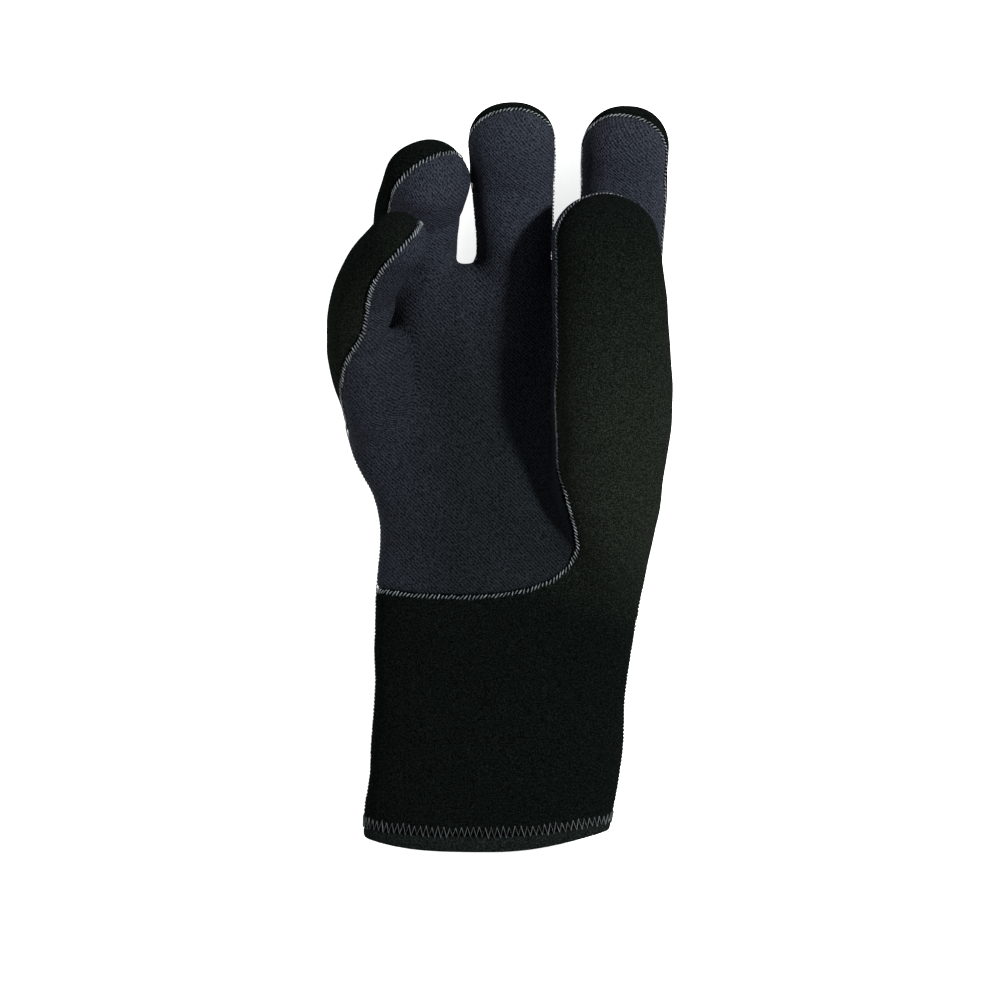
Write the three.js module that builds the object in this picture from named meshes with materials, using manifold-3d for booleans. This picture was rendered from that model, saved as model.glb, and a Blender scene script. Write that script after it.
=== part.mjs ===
// A right-hand diving glove of thick neoprene, lying on its back with the palm up.
// Millimetres. +Y runs from the cuff to the fingertips, +X towards the thumb and +Z up, out
// of the palm. The origin is the middle of the footprint, on the surface the glove lies on.
import * as THREE from "three";
import Module from "manifold-3d";

// The sheet of neoprene, its seams and the hem.
const WALL = 5;
const SEAM_GAP = 0.3;
const HEM_HEIGHT = 6;
const HEM_PROUD = 0.6;

// The cuff and the hand. The wrist seam lies at WRIST_Y, and the cuff and the hand run from
// there. The back is pressed flat by BACK_PRESS where it lies on the surface.
const WRIST_Y = -42;
const CUFF_LENGTH = 97;
const CUFF_WIDTH = 96;
const CUFF_HEIGHT = 38;
const HAND_LENGTH = 121;
const HAND_WIDTH = 112;
const HAND_HEIGHT = 38;
const BACK_PRESS = 1.5;

// The fingers and the thumb, from their roots inside the hand to their tips.
const FINGER_WIDTH = 32;
const THUMB_WIDTH = 38;
const LITTLE_LENGTH = 114;
const RING_LENGTH = 107;
const MIDDLE_LENGTH = 119;
const INDEX_LENGTH = 114;
const THUMB_LENGTH = 156;

// How finely the curved walls are faceted, outside and in the hollow.
const BODY_RINGS = 15;
const LIMB_RINGS = 9;
const TIP_RINGS = 3;
const OUTSIDE = { body: 32, limb: 14 };
const HOLLOW = { body: 24, limb: 12 };
const SECTION_POWER = 2.4;

// Sections of the cuff from its open edge to the wrist. along is a share of CUFF_LENGTH from
// the wrist, left and right are shares of CUFF_WIDTH, and top is a share of CUFF_HEIGHT.
const CUFF_SECTIONS = [
  { along: -1, left: -0.523, right: 0.43, top: 1 },
  { along: -0.85, left: -0.526, right: 0.453, top: 1 },
  { along: -0.66, left: -0.498, right: 0.475, top: 0.97 },
  { along: -0.45, left: -0.486, right: 0.493, top: 0.95 },
  { along: -0.2, left: -0.482, right: 0.516, top: 0.95 },
];

// Sections of the hand from the wrist to the roots of the fingers. along is a share of
// HAND_LENGTH, left and right are shares of HAND_WIDTH, and the rest are shares of
// HAND_HEIGHT: top and low are the heights of the palm and the back, cup is how far the
// middle of the palm sinks, ball is how far its thumb side rises and bank is how far the
// little finger's side lifts off the surface.
const HAND_SECTIONS = [
  { along: 0, left: -0.408, right: 0.475, top: 0.96, low: 0, cup: 0.02, ball: 0, bank: 0 },
  { along: 0.15, left: -0.394, right: 0.5, top: 0.97, low: 0, cup: 0.08, ball: 0.08, bank: 0 },
  { along: 0.28, left: -0.416, right: 0.518, top: 0.98, low: 0, cup: 0.14, ball: 0.16, bank: 0 },
  { along: 0.4, left: -0.474, right: 0.53, top: 0.98, low: 0, cup: 0.16, ball: 0.2, bank: 0 },
  { along: 0.53, left: -0.505, right: 0.536, top: 0.97, low: 0, cup: 0.16, ball: 0.16, bank: 0 },
  { along: 0.66, left: -0.5, right: 0.535, top: 0.98, low: 0, cup: 0.13, ball: 0.06, bank: 0.03 },
  { along: 0.8, left: -0.45, right: 0.53, top: 1, low: 0.07, cup: 0.08, ball: 0, bank: 0.08 },
  { along: 0.92, left: -0.37, right: 0.51, top: 1, low: 0.2, cup: 0.03, ball: 0, bank: 0.14 },
  { along: 1, left: -0.3, right: 0.47, top: 0.93, low: 0.36, cup: 0, ball: 0, bank: 0.17 },
];

// How far the open edge sweeps up at each side, as shares of CUFF_LENGTH, and the share of
// the cuff over which the sweep dies away.
const EDGE_SWEEP = { left: 0.03, right: 0.085, fade: 0.35, power: 3 };

// The limbs. root is the start of the spine: across as a share of HAND_WIDTH, along as a
// share of HAND_LENGTH from the wrist and up as a share of HAND_HEIGHT. The rows follow the
// spine from root to tip: along is a share of the limb's length, rise is its slope above the
// ground, swing its turn towards the thumb, roll the turn of its palm side about the spine,
// and width and depth are shares of FINGER_WIDTH, or of THUMB_WIDTH for the thumb. seam is
// where the seam runs, as a share of the half depth towards the palm side.
const LIMBS = {
  little: {
    length: LITTLE_LENGTH,
    gauge: FINGER_WIDTH,
    seam: 0,
    root: { across: -0.345, along: 0.4, up: 0.42 },
    rows: [
      { along: 0, rise: 18, swing: -17, roll: 4, width: 0.62, depth: 0.66 },
      { along: 0.2, rise: 24, swing: -15, roll: 14, width: 0.88, depth: 0.84 },
      { along: 0.42, rise: 33, swing: -7, roll: 44, width: 0.92, depth: 0.87 },
      { along: 0.6, rise: 43, swing: 8, roll: 70, width: 0.9, depth: 0.84 },
      { along: 0.8, rise: 44, swing: 36, roll: 84, width: 0.84, depth: 0.78 },
      { along: 1, rise: 30, swing: 54, roll: 92, width: 0.78, depth: 0.74 },
    ],
  },
  ring: {
    length: RING_LENGTH,
    gauge: FINGER_WIDTH,
    seam: 0.05,
    root: { across: -0.235, along: 0.56, up: 0.42 },
    rows: [
      { along: 0, rise: 10, swing: -4, roll: 10, width: 0.76, depth: 0.7 },
      { along: 0.2, rise: 12, swing: -4, roll: 12, width: 0.92, depth: 0.86 },
      { along: 0.45, rise: 17, swing: -4, roll: 18, width: 0.93, depth: 0.88 },
      { along: 0.65, rise: 30, swing: 5, roll: 26, width: 0.95, depth: 0.91 },
      { along: 0.84, rise: 49, swing: 22, roll: 34, width: 0.98, depth: 0.92 },
      { along: 1, rise: 54, swing: 28, roll: 36, width: 0.93, depth: 0.87 },
    ],
  },
  middle: {
    length: MIDDLE_LENGTH,
    gauge: FINGER_WIDTH,
    seam: -0.05,
    root: { across: 0.015, along: 0.56, up: 0.42 },
    rows: [
      { along: 0, rise: 12, swing: 4, roll: 4, width: 0.78, depth: 0.7 },
      { along: 0.2, rise: 14, swing: 4, roll: 5, width: 0.92, depth: 0.86 },
      { along: 0.4, rise: 15, swing: 3, roll: 6, width: 0.89, depth: 0.87 },
      { along: 0.62, rise: 22, swing: 0, roll: 8, width: 0.93, depth: 0.9 },
      { along: 0.84, rise: 31, swing: -1, roll: 8, width: 1.02, depth: 0.94 },
      { along: 1, rise: 35, swing: -1, roll: 8, width: 0.97, depth: 0.9 },
    ],
  },
  index: {
    length: INDEX_LENGTH,
    gauge: FINGER_WIDTH,
    seam: 0.05,
    root: { across: 0.36, along: 0.56, up: 0.4 },
    rows: [
      { along: 0, rise: 6, swing: 5, roll: -3, width: 0.78, depth: 0.7 },
      { along: 0.2, rise: 5, swing: 5, roll: -3, width: 0.98, depth: 0.88 },
      { along: 0.48, rise: 6, swing: 4, roll: -5, width: 1, depth: 0.9 },
      { along: 0.7, rise: 14, swing: 3, roll: -6, width: 1.02, depth: 0.93 },
      { along: 0.86, rise: 30, swing: 1, roll: -6, width: 1.04, depth: 0.95 },
      { along: 1, rise: 38, swing: 0, roll: -6, width: 1, depth: 0.92 },
    ],
  },
  thumb: {
    length: THUMB_LENGTH,
    gauge: THUMB_WIDTH,
    seam: 0.05,
    root: { across: 0.34, along: -0.02, up: 0.42 },
    rows: [
      { along: 0, rise: 20, swing: 4, roll: -150, width: 0.62, depth: 0.64 },
      { along: 0.15, rise: 24, swing: 3, roll: -152, width: 0.88, depth: 0.86 },
      { along: 0.34, rise: 24, swing: 3, roll: -154, width: 1.13, depth: 0.92 },
      { along: 0.52, rise: 18, swing: 0, roll: -155, width: 1.19, depth: 0.96 },
      { along: 0.68, rise: 10, swing: -3, roll: -155, width: 1.15, depth: 0.92 },
      { along: 0.85, rise: 5, swing: -4, roll: -155, width: 1.06, depth: 0.88 },
      { along: 1, rise: 2, swing: -2, roll: -155, width: 0.98, depth: 0.84 },
    ],
  },
};

// The length of a rounded tip, as a share of the limb's half width there.
const TIP_ROUND = 0.98;

// The seam between the cuff's front and the palm, then up the ball of the thumb. across is a
// share of HAND_WIDTH and along a share of HAND_LENGTH from the wrist.
const PALM_SEAM = [
  { across: -0.7, along: 0.01 },
  { across: -0.41, along: 0.004 },
  { across: -0.27, along: -0.011 },
  { across: -0.1, along: -0.016 },
  { across: 0.01, along: -0.008 },
  { across: 0.1, along: 0.008 },
  { across: 0.175, along: 0.035 },
  { across: 0.225, along: 0.075 },
  { across: 0.25, along: 0.13 },
  { across: 0.236, along: 0.19 },
  { across: 0.214, along: 0.26 },
  { across: 0.19, along: 0.34 },
  { across: 0.172, along: 0.42 },
  { across: 0.168, along: 0.49 },
];

// The rings from which the seams of the thumb and the fingers leave the hand's.
const THUMB_SEAM_RING = 4;
const FINGER_SEAM_RING = 2;

// Where the side seams run up the cuff and the hand, as a share of HAND_HEIGHT.
const SIDE_SEAM = 0.42;

// Cutting solids reach REACH past the walls that they cut, the cuts along a limb reach
// SIDE_SHARE of its gauge to each side and the columns reach FAR past everything.
const REACH = 0.6;
const SIDE_SHARE = 0.7;
const FAR = 400;

// The width below which a panel's triangles are merged away.
const FINEST = 0.02;

// The straight steps that make up a limb's spine.
const SPINE_STEPS = 60;

const wasm = await Module();
wasm.setup();

const radians = THREE.MathUtils.degToRad;

// The row of a table at a place along it, with a smooth curve through its columns.
function rowAt(rows, along) {
  const clamped = THREE.MathUtils.clamp(along, rows[0].along, rows[rows.length - 1].along);
  const found = rows.findIndex((row) => row.along >= clamped);
  const next = Math.max(found, 1);
  const [a, b] = [rows[next - 1], rows[next]];
  const before = rows[next - 2] ?? a;
  const after = rows[next + 1] ?? b;
  const span = b.along - a.along;
  const t = (clamped - a.along) / span;
  const row = {};
  for (const key of Object.keys(a)) {
    const slopeA = ((b[key] - before[key]) / (b.along - before.along)) * span;
    const slopeB = ((after[key] - a[key]) / (after.along - a.along)) * span;
    row[key] =
      a[key] * (2 * t ** 3 - 3 * t ** 2 + 1) +
      slopeA * (t ** 3 - 2 * t ** 2 + t) +
      b[key] * (3 * t ** 2 - 2 * t ** 3) +
      slopeB * (t ** 3 - t ** 2);
  }
  return { ...row, along };
}

// The rounded section of a wall: its share of the half width and of the half height.
function sectionPoint(angle) {
  const round = (value) => Math.sign(value) * Math.abs(value) ** (2 / SECTION_POWER);
  return [round(Math.cos(angle)), round(Math.sin(angle))];
}

// A closed solid through rings of points, with a point at each end.
function loft(rings, start, end) {
  const sides = rings[0].length;
  const points = [start, ...rings.flat(), end];
  const last = points.length - 1;
  const triangles = [];
  for (let j = 0; j < sides; j += 1) {
    const k = (j + 1) % sides;
    triangles.push(0, 1 + j, 1 + k);
    for (let i = 0; i < rings.length - 1; i += 1) {
      const low = 1 + i * sides;
      const high = low + sides;
      triangles.push(low + j, high + j, low + k);
      triangles.push(low + k, high + j, high + k);
    }
    const rim = last - sides;
    triangles.push(last, rim + k, rim + j);
  }
  return new wasm.Manifold(
    new wasm.Mesh({
      numProp: 3,
      vertProperties: new Float32Array(points.flatMap((point) => point.toArray())),
      triVerts: new Uint32Array(triangles),
    }),
  );
}

// A row of the cuff or the hand, with its shares turned into millimetres.
function bodyRow(row, length, width, height) {
  return {
    along: WRIST_Y + row.along * length,
    left: row.left * width,
    right: row.right * width,
    top: row.top * height,
    low: row.low * height - BACK_PRESS,
    cup: row.cup * height,
    ball: row.ball * height,
    bank: row.bank * height,
  };
}

// The rows of the cuff and the hand in millimetres, in one table along Y.
const FLAT = { low: 0, cup: 0, ball: 0, bank: 0 };
const BODY_ROWS = [
  ...CUFF_SECTIONS.map((row) => bodyRow({ ...row, ...FLAT }, CUFF_LENGTH, CUFF_WIDTH, CUFF_HEIGHT)),
  ...HAND_SECTIONS.map((row) => bodyRow(row, HAND_LENGTH, HAND_WIDTH, HAND_HEIGHT)),
];
const CUFF_EDGE = WRIST_Y - CUFF_LENGTH;
const HAND_END = WRIST_Y + HAND_LENGTH;

// The cuff and hand from one place along Y to another, with its walls moved in by inset and
// its underside pressed flat where it would lie below floor.
function body(from, to, inset, floor, sides) {
  const rings = [];
  for (let i = 0; i <= BODY_RINGS; i += 1) {
    const y = from + ((to - from) * i) / BODY_RINGS;
    const row = rowAt(BODY_ROWS, y);
    const middle = (row.left + row.right) / 2;
    const halfWidth = (row.right - row.left) / 2 - inset;
    const centre = (row.top + row.low) / 2;
    const halfHeight = (row.top - row.low) / 2 - inset;
    const faded = THREE.MathUtils.clamp((y - CUFF_EDGE) / (EDGE_SWEEP.fade * CUFF_LENGTH), 0, 1);
    const ring = [];
    for (let j = 0; j < sides; j += 1) {
      const [across, up] = sectionPoint((2 * Math.PI * j) / sides);
      const sweep = (across < 0 ? EDGE_SWEEP.left : EDGE_SWEEP.right) * CUFF_LENGTH;
      const palmward = Math.max(up, 0);
      const shaped = row.ball * ((1 + across) / 2) ** 2 - row.cup * (1 - across ** 2) ** 2;
      const lifted = sweep * Math.abs(across) ** EDGE_SWEEP.power * (1 - faded) ** 2;
      const x = middle + across * halfWidth;
      const z = centre + up * halfHeight + palmward * shaped - row.bank * across;
      ring.push(new THREE.Vector3(x, y + lifted, Math.max(z, floor)));
    }
    rings.push(ring);
  }
  return loft(rings, centreOf(rings[0]), centreOf(rings[rings.length - 1]));
}

function centreOf(ring) {
  const sum = ring.reduce((total, point) => total.add(point), new THREE.Vector3());
  return sum.divideScalar(ring.length);
}

// The stations of a limb's spine: where it is, which way it runs and where its sides face.
function spine(limb) {
  const { root } = limb;
  const place = new THREE.Vector3(
    root.across * HAND_WIDTH,
    WRIST_Y + root.along * HAND_LENGTH,
    root.up * HAND_HEIGHT,
  );
  const stations = [];
  for (let i = 0; i <= SPINE_STEPS; i += 1) {
    const row = rowAt(limb.rows, i / SPINE_STEPS);
    const [rise, swing, roll] = [radians(row.rise), radians(row.swing), radians(row.roll)];
    const forward = new THREE.Vector3(
      Math.sin(swing) * Math.cos(rise),
      Math.cos(swing) * Math.cos(rise),
      Math.sin(rise),
    );
    const upward = new THREE.Vector3(
      -Math.sin(swing) * Math.sin(rise),
      -Math.cos(swing) * Math.sin(rise),
      Math.cos(rise),
    );
    const sideways = new THREE.Vector3(Math.cos(swing), -Math.sin(swing), 0);
    const palm = upward.multiplyScalar(Math.cos(roll)).addScaledVector(sideways, Math.sin(roll));
    const side = new THREE.Vector3().crossVectors(forward, palm);
    stations.push({ place: place.clone(), forward, palm, side, row });
    place.addScaledVector(forward, limb.length / SPINE_STEPS);
  }
  return (along) => {
    const nearest = Math.round((along / limb.length) * SPINE_STEPS);
    const index = THREE.MathUtils.clamp(nearest, 0, SPINE_STEPS);
    const station = stations[index];
    const past = along - (index / SPINE_STEPS) * limb.length;
    return { ...station, place: station.place.clone().addScaledVector(station.forward, past) };
  };
}

// A ring round a limb, with its walls moved in by inset.
function limbRing(limb, station, scale, inset, sides) {
  const halfWidth = ((station.row.width * limb.gauge) / 2 - inset) * scale;
  const halfDepth = ((station.row.depth * limb.gauge) / 2 - inset) * scale;
  const ring = [];
  for (let j = 0; j < sides; j += 1) {
    const [across, up] = sectionPoint((2 * Math.PI * j) / sides);
    ring.push(beside(station, across * halfWidth, up * halfDepth));
  }
  return ring;
}

// A point beside a station of a spine: across it, and towards its palm side.
function beside(station, across, deep) {
  const point = station.place.clone().addScaledVector(station.side, across);
  return point.addScaledVector(station.palm, deep);
}

// The length of a limb's rounded tip.
function tipLength(limb, inset) {
  const { width } = limb.rows[limb.rows.length - 1];
  return TIP_ROUND * ((width * limb.gauge) / 2 - inset);
}

// A limb with a rounded tip, with its walls moved in by inset.
function tube(limb, inset, sides) {
  const at = spine(limb);
  const round = tipLength(limb, inset);
  const straight = limb.length - inset - round;
  const rings = [];
  for (let i = 0; i <= LIMB_RINGS; i += 1) {
    rings.push(limbRing(limb, at((straight * i) / LIMB_RINGS), 1, inset, sides));
  }
  for (let i = 1; i <= TIP_RINGS; i += 1) {
    const angle = ((Math.PI / 2) * i) / (TIP_RINGS + 1);
    const along = straight + round * Math.sin(angle);
    rings.push(limbRing(limb, at(along), Math.cos(angle), inset, sides));
  }
  return loft(rings, at(0).place, at(straight + round).place);
}

// Where a cutting solid has its rings along a limb: at the limb's own rings, from firstRing
// on, and past its tip.
function cutPlaces(limb, firstRing) {
  const straight = limb.length - tipLength(limb, 0);
  const places = [];
  for (let i = firstRing; i <= LIMB_RINGS; i += 1) {
    places.push((straight * i) / LIMB_RINGS);
  }
  return [...places, limb.length + REACH];
}

// A blunt solid round a limb, past its walls.
function sleeve(limb, grow, firstRing = 0) {
  const at = spine(limb);
  const rings = cutPlaces(limb, firstRing).map((along) =>
    limbRing(limb, at(along), 1, -REACH - grow, OUTSIDE.limb),
  );
  return loft(rings, centreOf(rings[0]), centreOf(rings[rings.length - 1]));
}

// The half of a sleeve on the palm side of the limb's seam, or on its back when face is -1.
function halfSleeve(limb, face, grow, firstRing = 0) {
  const at = spine(limb);
  const rings = cutPlaces(limb, firstRing).map((along) => {
    const station = at(along);
    const level = (limb.seam * station.row.depth * limb.gauge) / 2 - face * grow;
    const low = Math.min(level, level + face * limb.gauge);
    const high = low + limb.gauge;
    const wide = SIDE_SHARE * limb.gauge;
    return [
      beside(station, wide, low),
      beside(station, wide, high),
      beside(station, -wide, high),
      beside(station, -wide, low),
    ];
  });
  const side = loft(rings, centreOf(rings[0]), centreOf(rings[rings.length - 1]));
  return sleeve(limb, grow, firstRing).intersect(side);
}

// A column that stands on an outline in the ground plane, between two heights.
function column(outline, low, high) {
  const shape = new THREE.Shape(outline);
  const geometry = new THREE.ExtrudeGeometry(shape, { depth: high - low, bevelEnabled: false });
  geometry.translate(0, 0, low);
  return solidOf(geometry);
}

// A closed geometry as a solid, with the corners that its faces share merged.
function solidOf(geometry) {
  const position = geometry.getAttribute("position");
  const numbers = new Map();
  const points = [];
  const corners = [];
  for (let i = 0; i < position.count; i += 1) {
    const point = [position.getX(i), position.getY(i), position.getZ(i)];
    const key = point.map((value) => value.toFixed(4)).join(" ");
    if (!numbers.has(key)) {
      numbers.set(key, numbers.size);
      points.push(...point);
    }
    corners.push(numbers.get(key));
  }
  return new wasm.Manifold(
    new wasm.Mesh({
      numProp: 3,
      vertProperties: new Float32Array(points),
      triVerts: new Uint32Array(corners),
    }),
  );
}

// The palm seam's points, moved sideways by grow.
function palmSeam(grow) {
  const points = PALM_SEAM.map(
    (row) => new THREE.Vector2(row.across * HAND_WIDTH, WRIST_Y + row.along * HAND_LENGTH),
  );
  return points.map((point, i) => {
    const before = points[Math.max(i - 1, 0)];
    const after = points[Math.min(i + 1, points.length - 1)];
    const run = after.clone().sub(before).normalize();
    return new THREE.Vector2(point.x - run.y * grow, point.y + run.x * grow);
  });
}

const limbs = Object.values(LIMBS);
const fingers = [LIMBS.little, LIMBS.ring, LIMBS.middle, LIMBS.index];

// The whole glove without its hollow, above the surface it lies on, and the hollow.
const mainStart = CUFF_EDGE + HEM_HEIGHT + SEAM_GAP;
const outerBody = body(mainStart, HAND_END, 0, 0, OUTSIDE.body);
const outer = limbs.reduce((solid, limb) => solid.add(tube(limb, 0, OUTSIDE.limb)), outerBody);
const hollowStart = CUFF_EDGE - 2 * HEM_HEIGHT;
const hollowBody = body(hollowStart, HAND_END - WALL, WALL, WALL, HOLLOW.body);
const inner = limbs.reduce((solid, limb) => solid.add(tube(limb, WALL, HOLLOW.limb)), hollowBody);
const ground = new THREE.BoxGeometry(2 * FAR, 2 * FAR, FAR).translate(0, 0, -FAR / 2);
const shell = outer.subtract(solidOf(ground.toNonIndexed())).subtract(inner);

// The front of the glove, above the side seams: the palm, the palm sides of the fingers and
// the whole thumb.
function frontRegion(grow) {
  const outset = REACH + grow;
  const hand = body(mainStart - outset, HAND_END + outset, -outset, 0, OUTSIDE.body);
  const backs = fingers.map((limb) => halfSleeve(limb, -1, -grow, FINGER_SEAM_RING));
  const fronts = fingers.map((limb) => halfSleeve(limb, 1, grow));
  const palm = backs.reduce((solid, back) => solid.subtract(back), hand);
  const thumbed = palm.add(sleeve(LIMBS.thumb, grow));
  const whole = fronts.reduce((solid, front) => solid.add(front), thumbed);
  const square = [
    new THREE.Vector2(-FAR, -FAR),
    new THREE.Vector2(FAR, -FAR),
    new THREE.Vector2(FAR, FAR),
    new THREE.Vector2(-FAR, FAR),
  ];
  return whole.intersect(column(square, SIDE_SEAM * HAND_HEIGHT - grow, FAR));
}

// The cuff's front, the ball of the thumb and the outer side of the thumb.
function thumbRegion(grow) {
  const seam = palmSeam(grow);
  const top = WRIST_Y + PALM_SEAM[PALM_SEAM.length - 1].along * HAND_LENGTH + grow;
  const outline = [
    ...seam,
    new THREE.Vector2(seam[seam.length - 1].x, top),
    new THREE.Vector2(FAR, top),
    new THREE.Vector2(FAR, -FAR),
    new THREE.Vector2(-FAR, -FAR),
    new THREE.Vector2(-FAR, seam[0].y),
  ];
  return column(outline, -FAR, FAR).add(halfSleeve(LIMBS.thumb, -1, grow, THUMB_SEAM_RING));
}

// A panel without the slivers and hair-thin triangles that two cuts leave beside each other.
function trimmed(panel) {
  const main = panel.decompose().reduce((a, b) => (a.volume() > b.volume() ? a : b));
  return main.setTolerance(FINEST);
}

const front = shell.intersect(frontRegion(0));
const hem = body(CUFF_EDGE, CUFF_EDGE + HEM_HEIGHT, -HEM_PROUD, 0, OUTSIDE.body);
const pieces = {
  palm_panel: trimmed(front.subtract(thumbRegion(SEAM_GAP))),
  thumb_cuff_panel: trimmed(front.intersect(thumbRegion(0))),
  back_panel: trimmed(shell.subtract(frontRegion(SEAM_GAP))),
  cuff_hem: trimmed(hem.subtract(hollowBody)),
};

const LOOKS = {
  palm_panel: { color: 0x20242c, roughness: 0.9, metalness: 0 },
  thumb_cuff_panel: { color: 0x121513, roughness: 0.85, metalness: 0 },
  back_panel: { color: 0x121513, roughness: 0.85, metalness: 0 },
  cuff_hem: { color: 0x151816, roughness: 0.85, metalness: 0 },
};

const glove = new THREE.Group();
for (const [name, solid] of Object.entries(pieces)) {
  const made = solid.getMesh();
  const geometry = new THREE.BufferGeometry();
  geometry.setAttribute("position", new THREE.BufferAttribute(made.vertProperties, 3));
  geometry.setIndex(new THREE.BufferAttribute(made.triVerts, 1));
  const mesh = new THREE.Mesh(geometry, new THREE.MeshStandardMaterial(LOOKS[name]));
  mesh.name = name;
  glove.add(mesh);
}

export default glove;
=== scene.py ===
# A right-hand diving glove of thick neoprene, lying on its back with the palm up.
# The walls, seams and creases are worked out as fields on a grid, in millimetres in the part's
# own frame, and meshed panel by panel. Blender's own objects are in metres.
import itertools
import math

import bpy
import numpy as np
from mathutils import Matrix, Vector


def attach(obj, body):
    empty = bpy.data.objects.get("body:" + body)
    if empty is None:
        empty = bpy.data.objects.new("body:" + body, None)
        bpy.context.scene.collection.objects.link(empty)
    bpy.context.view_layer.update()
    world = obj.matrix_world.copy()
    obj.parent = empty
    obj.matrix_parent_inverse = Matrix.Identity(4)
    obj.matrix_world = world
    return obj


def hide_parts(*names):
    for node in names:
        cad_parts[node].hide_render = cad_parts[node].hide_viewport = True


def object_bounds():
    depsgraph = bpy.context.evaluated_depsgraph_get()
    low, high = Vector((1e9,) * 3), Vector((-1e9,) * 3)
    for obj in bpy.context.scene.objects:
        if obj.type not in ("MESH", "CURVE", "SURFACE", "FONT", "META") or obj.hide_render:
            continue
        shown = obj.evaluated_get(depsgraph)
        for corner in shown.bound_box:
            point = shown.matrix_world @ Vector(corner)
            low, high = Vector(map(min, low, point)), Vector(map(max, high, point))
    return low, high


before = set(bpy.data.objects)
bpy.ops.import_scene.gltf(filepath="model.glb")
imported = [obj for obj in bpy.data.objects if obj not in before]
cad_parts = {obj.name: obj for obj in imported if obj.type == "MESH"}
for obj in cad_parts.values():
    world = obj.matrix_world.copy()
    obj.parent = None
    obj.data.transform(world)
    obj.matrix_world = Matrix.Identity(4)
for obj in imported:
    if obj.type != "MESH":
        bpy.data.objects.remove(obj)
CAD_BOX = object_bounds()

METRES = 0.001

# Small values that keep a division away from zero.
TINY = 1e-6
FAINT = 1e-9

# The sheet of neoprene, its seams and the hem, in millimetres. THINNEST is the least wall that a
# crease leaves, SEAM_GAP the space between panels, HEM_PROUD how far the hem stands out, and
# TABLE_ROUND how softly the cloth turns flat on the table.
WALL = 5.0
THINNEST = 2.0
SEAM_GAP = 0.2
SEAM_ROUND = 2.2
HEM_HEIGHT = 6.0
HEM_PROUD = 0.3
HEM_ROUND = 1.6
TABLE_ROUND = 1.5

# The cuff and the hand, which run from the wrist seam, in millimetres. The back is pressed
# BACK_PRESS flatter by the table.
WRIST_Y = -42.0
CUFF_LENGTH = 97.0
CUFF_WIDTH = 96.0
CUFF_HEIGHT = 38.0
HAND_LENGTH = 121.0
HAND_WIDTH = 112.0
HAND_HEIGHT = 38.0
BACK_PRESS = 1.5
CUFF_EDGE = WRIST_Y - CUFF_LENGTH
HAND_END = WRIST_Y + HAND_LENGTH
SIDE_SEAM_Z = 0.42 * HAND_HEIGHT

FINGER_WIDTH = 32.0
THUMB_WIDTH = 38.0

# How round the sections are, as powers, and how round a tip is, as a share of its half width.
BODY_POWER = 2.4
LIMB_POWER = 2.3
TIP_ROUND = 0.98

# How softly the limbs join the hand and each other, and how softly the hand ends, in
# millimetres, and the shares of a limb's length over which its join turns into a crotch.
JOIN_SOFT = 5.0
CROTCH_SOFT = 1.6
END_SOFT = 9.0
CROTCH_SPAN = (0.3, 0.75)

# How sharply the fields of the hand and a limb hand over to each other, how far a limb softens
# the joins beside it, and the palm field's value over the fingers, in millimetres.
HAND_OVER = 1.2
CLOSENESS = 2.0
FINGER_CLEAR = 12.0

# The shares of a limb's length over which the run of its cloth takes over from the hand's.
CLOTH_SPAN = (0.1, 0.4)

# The grid's step, its margin round the CAD model, a distance that counts as far and the reach
# over which a field's slope is taken, in millimetres. GRID_EDGE keeps points in the last cell.
STEP = 1.0
MARGIN = 5.0
FAR = 40.0
SLOPE_REACH = 0.8
GRID_EDGE = 0.001

# The corners of a cell of the grid.
CORNERS = tuple(itertools.product((0, 1), repeat=3))

# How meshes are evened out: the rounds, the share of the way to the neighbours' middle, the
# least square of a slope, and the longest move in millimetres.
SETTLE_ROUNDS = 3
SETTLE_SHARE = 0.5
SETTLE_STEEP = 0.1
SETTLE_MOVE = 0.6

# Sections of the cuff from its open edge to the wrist: along is a share of CUFF_LENGTH from
# the wrist, left and right are shares of CUFF_WIDTH, and top is a share of CUFF_HEIGHT.
CUFF_COLUMNS = ("along", "left", "right", "top")
CUFF_SECTIONS = (
    (-1.0, -0.523, 0.43, 1.0),
    (-0.85, -0.526, 0.453, 1.0),
    (-0.66, -0.498, 0.475, 0.97),
    (-0.45, -0.486, 0.493, 0.95),
    (-0.2, -0.482, 0.516, 0.95),
)

# Sections of the hand: along is a share of HAND_LENGTH, left and right are shares of
# HAND_WIDTH, and the rest are shares of HAND_HEIGHT. cup is how far the middle of the palm
# sinks, ball how far its thumb side rises and bank how far the little finger's side lifts.
HAND_COLUMNS = ("along", "left", "right", "top", "low", "cup", "ball", "bank")
HAND_SECTIONS = (
    (0.0, -0.408, 0.475, 0.96, 0.0, 0.02, 0.0, 0.0),
    (0.15, -0.394, 0.5, 0.97, 0.0, 0.08, 0.08, 0.0),
    (0.28, -0.416, 0.518, 0.98, 0.0, 0.14, 0.16, 0.0),
    (0.4, -0.474, 0.53, 0.98, 0.0, 0.16, 0.2, 0.0),
    (0.53, -0.505, 0.536, 0.97, 0.0, 0.16, 0.16, 0.0),
    (0.66, -0.5, 0.535, 0.98, 0.0, 0.13, 0.06, 0.03),
    (0.8, -0.45, 0.53, 1.0, 0.07, 0.08, 0.0, 0.08),
    (0.92, -0.37, 0.51, 1.0, 0.2, 0.03, 0.0, 0.14),
    (1.0, -0.3, 0.47, 0.93, 0.36, 0.0, 0.0, 0.17),
)

# How far the cuff's open edge sweeps up at each side, as shares of CUFF_LENGTH, the share of the
# cuff over which the sweep dies away, and how late it rises towards each side, as powers.
SWEEP_LEFT = 0.06
SWEEP_RIGHT = 0.122
SWEEP_FADE = 0.35
SWEEP_POWER_LEFT = 3.6
SWEEP_POWER_RIGHT = 2.4

# How far past its sides a section keeps its shape, in half widths.
SIDE_HELD = 1.05

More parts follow.
